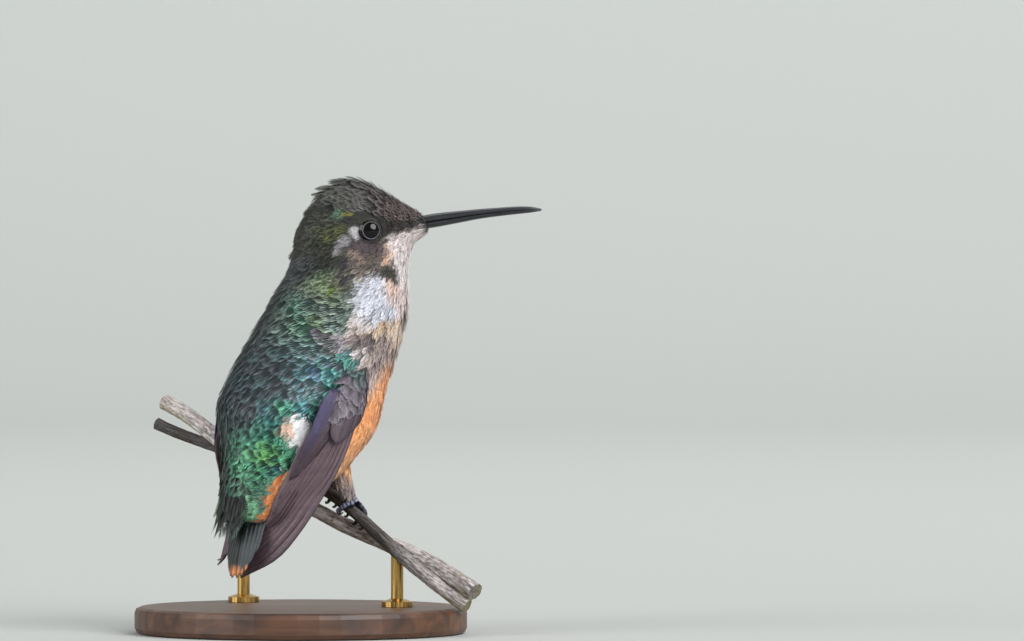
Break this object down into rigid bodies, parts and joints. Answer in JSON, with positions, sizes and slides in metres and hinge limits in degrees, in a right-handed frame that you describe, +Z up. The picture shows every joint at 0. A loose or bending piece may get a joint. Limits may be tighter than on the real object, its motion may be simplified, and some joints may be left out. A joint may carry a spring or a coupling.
{
  "type": "hummingbird display model",
  "caption": "Still life-size model of a small hummingbird perched on a twisted vine, held by rods on a round wooden base.",
  "frame": {"origin": "centre of the stand's underside, on the surface that the model stands on", "axes": "+Z up, +X the way the bill points, +Y to the bird's left of the bill; the trunk is turned 40 degrees from +X towards +Y"},
  "size_m": [0.0489, 0.0403, 0.0549],
  "materials": {
    "crown_plumage": "small dusky bronze feathers with paler edges",
    "body_plumage": "iridescent emerald and teal feathers above, white and rufous below",
    "wing_plumage": "folded dusky purple-brown flight feathers",
    "tail_plumage": "dark green tail feathers with rufous tips",
    "leg_plumage": "soft rufous and grey leg tufts",
    "eye": "wet black eye",
    "bill": "smooth black horn",
    "foot_skin": "dark scaled skin",
    "claw": "dark horn claws",
    "vine_bark": "weathered grey stem with dark pits",
    "base_wood": "dark stained and waxed wood",
    "rod_brass": "satin drawn brass"
  },
  "bodies": {
    "root": {"bill_lower": "bill", "bill_upper": "bill", "claw_left_hind": "claw", "claw_left_inner": "claw", "claw_left_middle": "claw", "claw_left_outer": "claw", "claw_right_hind": "claw", "claw_right_inner": "claw", "claw_right_middle": "claw", "claw_right_outer": "claw", "eye_left": "eye", "eye_right": "eye", "foot_left": "foot_skin", "foot_right": "foot_skin", "head": "crown_plumage", "neck": "body_plumage", "perch_vine_a": "vine_bark", "perch_vine_b": "vine_bark", "shank_left": "foot_skin", "shank_right": "foot_skin", "stand_base": "base_wood", "stand_rod_left": "rod_brass", "stand_rod_right": "rod_brass", "tail": "tail_plumage", "thigh_left": "leg_plumage", "thigh_right": "leg_plumage", "trunk": "body_plumage", "wing_left_coverts": "wing_plumage", "wing_left_primaries": "wing_plumage", "wing_left_secondaries": "wing_plumage", "wing_right_coverts": "wing_plumage", "wing_right_primaries": "wing_plumage", "wing_right_secondaries": "wing_plumage"}
  },
  "joints": []
}
